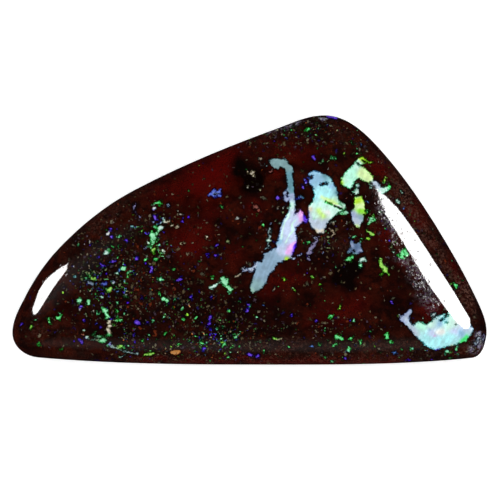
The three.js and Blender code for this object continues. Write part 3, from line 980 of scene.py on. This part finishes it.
# Colours by pick: the rim and the core of a spark or thread, and the dull crumbs.
fireRims = [
    (0.0, (24, 150, 58)), (0.2, (70, 150, 26)), (0.32, (40, 170, 96)), (0.5, (34, 6, 130)),
    (0.6, (48, 16, 170)), (0.67, (40, 70, 130)), (0.72, (20, 80, 32)), (0.9, (100, 96, 60)),
    (0.975, (150, 60, 16)),
]
fireCores = [
    (0.0, (126, 255, 150)), (0.2, (184, 250, 80)), (0.32, (172, 255, 208)), (0.5, (86, 34, 240)),
    (0.6, (110, 74, 255)), (0.67, (90, 140, 215)), (0.72, (60, 150, 70)), (0.9, (200, 196, 160)),
    (0.975, (226, 130, 50)),
]
crumbStops = [
    (0.0, (84, 74, 52)), (0.22, (46, 48, 28)), (0.4, (62, 50, 62)), (0.54, (96, 38, 18)),
    (0.66, (26, 18, 70)), (0.76, (66, 68, 54)), (0.88, (110, 104, 84)),
]


def startMaterial(name, output="BsdfPrincipled"):
    material = bpy.data.materials.new(name)
    material.use_nodes = True
    tree = material.node_tree
    tree.nodes.clear()
    shader = addNode(tree, output)
    tree.links.new(shader.outputs[0], addNode(tree, "OutputMaterial").inputs["Surface"])
    return material, tree, shader


def readAttribute(tree, name, output="Fac"):
    return addNode(tree, "Attribute", attribute_type="GEOMETRY", attribute_name=name).outputs[output]


def addBump(tree, height, distance):
    return addNode(tree, "Bump", {"Height": height, "Distance": distance * mm, "Strength": 1.0}).outputs[0]


# A place stretched along a direction in degrees from +X, so that a pattern on it runs in streaks.
def stretchPlace(tree, place, heading, length):
    given = {"Vector": place, "Rotation": (0, 0, math.radians(heading)), "Scale": (length, 1, 1)}
    return addNode(tree, "Mapping", given, vector_type="TEXTURE").outputs[0]


# Flecks in a share of the cells: least, and more by share times the field there.
def scatterFlecks(tree, place, field, cell, size, least, share, stretch):
    amount = calculate(tree, "ADD", least, multiply(tree, field, share))
    return useGroup(tree, scatteredFlecks, Place=place, Cell=cell, Size=size, Amount=amount, Stretch=stretch)


# The polished face. Lengths are in millimetres and headings in degrees from +X.
opalFinish = {
    "bend": 0.16,
    "powder": (0.24, 4, 0.7),
    "mottle": (0.35, 3, 0.6),
    "dustAndSheenColour": shaderColour(94, 64, 54),
    "deepShade": shaderColour(8, 3, 2),
    "deepestShade": 0.8,  # most of the deep shade between sparks
    "crumbs": [
        {"cell": 0.24, "size": 0.1, "least": 0.06, "share": 0.6, "stretch": 1.7},
        {"cell": 0.4, "size": 0.15, "least": 0.04, "share": 0.45, "stretch": 1.7},
    ],
    "crumbHalo": 0.5,
    "threadWidth": 0.045,
    "threadDimming": (0.45, 1),
    "sparks": [
        {"cell": 0.3, "size": 0.084, "least": 0.008, "share": 0.11, "stretch": 1.3},
        {"cell": 0.58, "size": 0.15, "least": 0.01, "share": 0.2, "stretch": 1.6},
    ],
    "fireHalo": 0.95,
    "fireShade": shaderColour(3, 2, 1),
    "paintedSheenColours": (shaderColour(112, 92, 160), shaderColour(196, 204, 196)),
    "seamHalo": 0.85,
    "cloud": (0.5, 4, 0.6),
    "streaks": (0.26, 2, 0.5),
    "streakHeading": 68,
    "streakLength": 5,
    "grainHeight": 0.52,  # height of the streaks' noise at which a dark grain line runs
    "rimGamma": 3.0,
    "rimShade": (0.5, 0.5, 0.5, 1),
    "peel": (0.5, 2, 0.5),
    "peelShare": 0.4,
    "pits": {"cell": 0.22, "size": 0.08, "least": 0.03, "share": 0.5, "stretch": 1.3},
    "bumpHeight": 0.005,
    "roughness": 0.04,
    "pitRoughness": 0.2,
    "refraction": 1.5,
}


# Ironstone with pale powder and painted sheen on it, darker between the sparks.
def layRock(tree, look, rockColour, powder, mottle, fire):
    grains = multiply(tree, remap(tree, powder, 0.4, 0.68), remap(tree, mottle, 0.36, 0.6, 0.2, 0.75))
    # Mostly painted sheen, with some pale powder.
    dustAndSheenShare = multiply(tree, readAttribute(tree, "dustAndSheen"), grains)
    colour = blendColours(tree, dustAndSheenShare, rockColour, look["dustAndSheenColour"])
    between = multiply(tree, fire, remap(tree, mottle, 0.4, 0.6, 0.1, 0.75))
    between = calculate(tree, "MINIMUM", between, look["deepestShade"])
    return blendColours(tree, between, colour, look["deepShade"])


# Dull crumbs over a colour, each in a dark band and as strong as its glow.
def layCrumbs(tree, look, colour, crumbs):
    shaded = blendColours(tree, multiply(tree, crumbs["Halo"], look["crumbHalo"]), colour, look["deepShade"])
    strength = multiply(tree, crumbs["Mask"], remap(tree, crumbs["Glow"], 0.0, 1.0, 0.25, 0.95))
    return blendColours(tree, strength, shaded, pickColour(tree, crumbs["Pick"], crumbStops))


# Fire over a colour: a dark band round it, a saturated rim and a pale core, as strong as glow.
def layFire(tree, look, colour, fire, glow):
    shaded = blendColours(tree, multiply(tree, fire["Halo"], look["fireHalo"]), colour, look["fireShade"])
    rims = pickColour(tree, fire["Pick"], fireRims)
    cores = pickColour(tree, fire["Pick"], fireCores)
    lit = blendColours(tree, multiply(tree, fire["Core"], glow), rims, cores)
    return blendColours(tree, multiply(tree, fire["Mask"], glow), shaded, lit)


# Painted sheen, a pale reflection laid into the colour, in broken wisps where the powder and the mottling
# are both high.
def layPaintedSheen(tree, look, colour, powder, mottle, grain):
    wisps = multiply(tree, remap(tree, powder, 0.36, 0.64), remap(tree, mottle, 0.36, 0.58))
    paintedSheenShare = multiply(tree, readAttribute(tree, "paintedSheen"), wisps)
    paintedSheenColour = blendColours(tree, remap(tree, grain, 0.4, 0.6), *look["paintedSheenColours"])
    return blendColours(tree, paintedSheenShare, colour, paintedSheenColour)


# The drawn seams and flecks: their colours, clouded and streaked, with dark grain lines and a rim of
# the same colour, deeper by rimGamma and rimShade, and a dark band outside.
def laySeams(tree, look, colour, place):
    seam = useGroup(tree, seamEdge, Place=place["Place"], Depth=readAttribute(tree, "opalDepth"))
    shaded = blendColours(tree, multiply(tree, seam["Halo"], look["seamHalo"]), colour, look["deepShade"])
    cloud = addNoise(tree, place["Place"], *look["cloud"])
    streakPlace = stretchPlace(tree, place["Bent"], look["streakHeading"], look["streakLength"])
    streaks = addNoise(tree, streakPlace, *look["streaks"])
    fromGrain = calculate(tree, "ABSOLUTE", calculate(tree, "SUBTRACT", streaks, look["grainHeight"]))
    tint = readAttribute(tree, "opalTint", "Color")
    tint = shadeColour(tree, tint, remap(tree, cloud, 0.3, 0.7, 0.88, 1.12))
    tint = shadeColour(tree, tint, remap(tree, streaks, 0.35, 0.65, 0.9, 1.08))
    tint = shadeColour(tree, tint, remap(tree, fromGrain, 0.0, 0.02, 0.84, 1.0))
    rim = addNode(tree, "Gamma", {"Color": tint, "Gamma": look["rimGamma"]}).outputs[0]
    dimRim = shadeColour(tree, rim, look["rimShade"])
    return blendColours(tree, seam["Mask"], shaded, blendColours(tree, seam["Core"], dimRim, tint))


# The polished face: ironstone with dust and painted sheen, dull crumbs, threads and sparks of fire, painted
# sheen, and the drawn seams and flecks over them, under a polish with faint waves and small pits.
def makePolishedOpal(look):
    material, tree, shader = startMaterial("polishedOpalFace")
    place = useGroup(tree, stonePlace, Bend=look["bend"])
    rock = useGroup(tree, ironstone, Place=place["Place"], Red=readAttribute(tree, "redGround"),
                    Black=readAttribute(tree, "blackGround"))
    fire = readAttribute(tree, "pinfire")
    powder = addNoise(tree, place["Bent"], *look["powder"])
    mottle = addNoise(tree, place["Place"], *look["mottle"])
    colour = layRock(tree, look, rock["Color"], powder, mottle, fire)
    for crumbs in look["crumbs"]:
        colour = layCrumbs(tree, look, colour, scatterFlecks(tree, place["Bent"], fire, **crumbs))
    threads = useGroup(tree, fireThreads, Place=place["Place"], Amount=readAttribute(tree, "lacework"),
                       Width=look["threadWidth"])
    dimming = addNoise(tree, place["Place"], *look["threadDimming"])
    colour = layFire(tree, look, colour, threads, remap(tree, dimming, 0.35, 0.65, 0.25, 1.0))
    for kind in look["sparks"]:
        sparks = scatterFlecks(tree, place["Bent"], fire, **kind)
        colour = layFire(tree, look, colour, sparks, remap(tree, sparks["Glow"], 0.0, 0.6, 0.4, 1.0))
    # Painted sheen laid over the colour.
    colour = layPaintedSheen(tree, look, colour, powder, mottle, rock["Grain"])
    colour = laySeams(tree, look, colour, place)

    peel = addNoise(tree, place["Place"], *look["peel"])
    pits = scatterFlecks(tree, place["Bent"], readAttribute(tree, "pitted"), **look["pits"])["Mask"]
    relief = calculate(tree, "SUBTRACT", multiply(tree, peel, look["peelShare"]), pits)
    roughness = calculate(tree, "ADD", look["roughness"], multiply(tree, pits, look["pitRoughness"]))
    feed(tree, shader.inputs, {
        "Base Color": colour,
        "Roughness": roughness,
        "Normal": addBump(tree, relief, look["bumpHeight"]),
        "IOR": look["refraction"],
    })
    return material


backFinish = {
    "bend": 0.3,
    "redness": 0.15,
    "patches": (1.5, 4, 0.6),
    "groundColour": shaderColour(134, 78, 48),
    "specks": {"Cell": 0.8, "Size": 0.14, "Amount": 0.22, "Stretch": 1.5},
    "scratches": (0.16, 2, 0.5),
    "scratchHeading": 24,
    "scratchLength": 14,
    "scratchColour": shaderColour(150, 108, 84),
    "bumpHeight": 0.012,
    "roughness": (0.6, 0.8),
    "specular": 0.3,
}


# The ground back: dull brown ironstone in patches, with sanded scratches one way and a few dull specks.
def makeGroundBack(look):
    material, tree, shader = startMaterial("groundStoneBack")
    place = useGroup(tree, stonePlace, Bend=look["bend"])
    rock = useGroup(tree, ironstone, Place=place["Place"], Red=look["redness"], Black=0.0)
    patches = addNoise(tree, place["Place"], *look["patches"])
    share = remap(tree, patches, 0.3, 0.7, 0.5, 0.85)
    colour = blendColours(tree, share, rock["Color"], look["groundColour"])
    specks = useGroup(tree, scatteredFlecks, Place=place["Bent"], **look["specks"])
    colour = blendColours(tree, specks["Mask"], colour, pickColour(tree, specks["Pick"], crumbStops))
    scratchPlace = stretchPlace(tree, place["Place"], look["scratchHeading"], look["scratchLength"])
    scratches = addNoise(tree, scratchPlace, *look["scratches"])
    share = remap(tree, scratches, 0.5, 0.66, 0.0, 0.35)
    colour = blendColours(tree, share, colour, look["scratchColour"])
    feed(tree, shader.inputs, {
        "Base Color": colour,
        "Roughness": remap(tree, scratches, 0.3, 0.7, *look["roughness"]),
        "Normal": addBump(tree, scratches, look["bumpHeight"]),
        "Specular IOR Level": look["specular"],
    })
    return material


stoneMesh.materials.append(makePolishedOpal(opalFinish))
stoneMesh.materials.append(makeGroundBack(backFinish))
stoneMesh.polygons.foreach_set("material_index", backFace.astype(np.int32))
stoneMesh.update()
print("stone materials made")

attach(cabochon, "root")
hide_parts("boulder_opal")


# Table, lights and camera

# Softboxes by azimuth and elevation from the stone, with the corners of their faces as shares of their
# distance. Glow is the brightness of the face itself, where paper in full light is 1. The glow panels
# are dimmer, with soft edges, and their half-sizes are shares of the distance too. Lengths are in metres.
studio = {
    "tableHalfWidth": 1.5,
    "paperTones": (shaderColour(250, 250, 250), shaderColour(253, 253, 253)),
    "paperFibres": (0.02, 3),
    "paperRoughness": 0.9,
    "paperGlow": 0.42,  # only towards the camera, as a photograph shows white paper
    "lightDistance": 4.0,
    "softboxes": {
        "rightBox": {
            "azimuth": 22.1, "elevation": 55.5, "roll": -65, "glow": 30,
            "corners": [(-0.12, 0.15), (0.04, 0.15), (0.1, 0.12), (0.17, 0.07), (0.225, -0.01),
                        (0.285, -0.11), (0.29, -0.26), (0.06, -0.3), (-0.2, -0.25), (-0.24, -0.1),
                        (-0.19, 0.08)],
        },
        "leftBox": {
            "azimuth": 148.5, "elevation": 34.5, "roll": -10, "glow": 26,
            "corners": [(-0.115, 0.04), (-0.055, -0.11), (0.05, -0.33), (0.12, -0.33), (0.14, -0.14),
                        (0.145, 0.12), (0.09, 0.29), (0.03, 0.38), (-0.02, 0.39), (-0.07, 0.3),
                        (-0.1, 0.17)],
        },
    },
    "glowPanels": {
        "frontCard": {"azimuth": -90, "elevation": 38, "halfSizes": (0.6, 0.36), "glow": 0.2},
        "leftHalo": {"azimuth": 146, "elevation": 56, "halfSizes": (0.3, 0.42), "glow": 0.2},
    },
    "ceiling": {"height": 0.9, "width": 1.6, "glow": 2.05},
    "roomLight": (0.012, 0.012, 0.014, 1),
    "roomAsSeen": (0.93, 0.93, 0.93, 1),
    "sensorWidth": 36.0,  # of the camera, in its own millimetres
}

squareCorners = np.array([(-1, -1), (1, -1), (1, 1), (-1, 1)])


def makeTable():
    corners = np.column_stack([squareCorners * studio["tableHalfWidth"], np.zeros(4)])
    table, mesh = addMeshObject("paleTable", corners, [(0, 1, 2, 3)])
    table.visible_glossy = False
    material, tree, shader = startMaterial("whitePaper")
    fibres = addNoise(tree, addNode(tree, "TexCoord").outputs["Object"], *studio["paperFibres"])
    seen = addNode(tree, "LightPath").outputs["Is Camera Ray"]
    feed(tree, shader.inputs, {
        "Base Color": blendColours(tree, fibres, *studio["paperTones"]),
        "Roughness": studio["paperRoughness"],
        "Emission Color": (1, 1, 1, 1),
        "Emission Strength": multiply(tree, seen, studio["paperGlow"]),
    })
    mesh.materials.append(material)


# The way to a lamp from the stone, and the two directions across its face.
def lampDirections(azimuth, elevation, roll=0.0):
    a, e, r = np.radians([azimuth, elevation, roll])
    towards = np.array([np.cos(e) * np.cos(a), np.cos(e) * np.sin(a), np.sin(e)])
    side = np.array([-np.sin(a), np.cos(a), 0.0])
    up = np.cross(towards, side)
    return towards, np.cos(r) * side + np.sin(r) * up, np.cos(r) * up - np.sin(r) * side


# A glowing face seen only as a reflection in the polish. With soft edges it fades out from its middle.
def addGlowingFace(name, lamp, corners, softEdges):
    towards, across, above = lampDirections(lamp["azimuth"], lamp["elevation"], lamp.get("roll", 0.0))
    u, v = np.array(corners).T[:, :, None]
    face = studio["lightDistance"] * (towards + u * across + v * above)
    made, mesh = addMeshObject(name, face, [tuple(range(len(corners)))])
    for ray in ("camera", "diffuse", "transmission", "volume_scatter", "shadow"):
        setattr(made, "visible_" + ray, False)
    material, tree, glow = startMaterial(name, "Emission")
    strength = lamp["glow"]
    if softEdges:
        mesh.uv_layers.new(name="face").data.foreach_set("uv", squareCorners.ravel().astype(float))
        fromMiddle = vectorMath(tree, "LENGTH", addNode(tree, "UVMap", uv_map="face").outputs[0])
        strength = multiply(tree, remap(tree, fromMiddle, 1.0, 0.0), lamp["glow"])
    feed(tree, glow.inputs, {"Strength": strength})
    mesh.materials.append(material)


# The lamp that lights the table and the stone's own colours: a wide ceiling of power glow x pi x area.
def addCeiling(lamp):
    light = bpy.data.lights.new("ceiling", "AREA")
    light.size = lamp["width"]
    light.energy = lamp["glow"] * math.pi * lamp["width"] ** 2
    made = bpy.data.objects.new("ceiling", light)
    made.location.z = lamp["height"]
    bpy.context.scene.collection.objects.link(made)
    made.visible_glossy = False
    made.visible_camera = False


# The room is pale where the camera looks past the table, and dim for the light it gives.
def addRoom():
    room = bpy.data.worlds.new("studioRoom")
    room.use_nodes = True
    bpy.context.scene.world = room
    tree = room.node_tree
    seen = addNode(tree, "LightPath").outputs["Is Camera Ray"]
    tone = blendColours(tree, seen, studio["roomLight"], studio["roomAsSeen"])
    feed(tree, tree.nodes["Background"].inputs, {"Color": tone})


# The camera looks straight down. Its lens is sensor width x height / width of the view.
def addCamera():
    data = bpy.data.cameras.new("camera")
    data.sensor_width = studio["sensorWidth"]
    data.lens = data.sensor_width * photo["cameraHeight"] / (photo["width"] / photo["pixelsPerMm"])
    camera = bpy.data.objects.new("camera", data)
    offset = (np.array(photo["cameraMiddle"]) - photo["stoneMiddle"]) / photo["pixelsPerMm"] * (1, -1)
    camera.location = (*(offset * mm), (stone["girdleHeight"] + photo["cameraHeight"]) * mm)
    bpy.context.scene.collection.objects.link(camera)
    bpy.context.scene.camera = camera
    bpy.context.scene.view_settings.view_transform = "Standard"


makeTable()
for name, lamp in studio["softboxes"].items():
    addGlowingFace(name, lamp, lamp["corners"], softEdges=False)
for name, lamp in studio["glowPanels"].items():
    addGlowingFace(name, lamp, squareCorners * lamp["halfSizes"], softEdges=True)
addCeiling(studio["ceiling"])
addRoom()
addCamera()
print("table, lights and camera set")

bpy.context.view_layer.update()
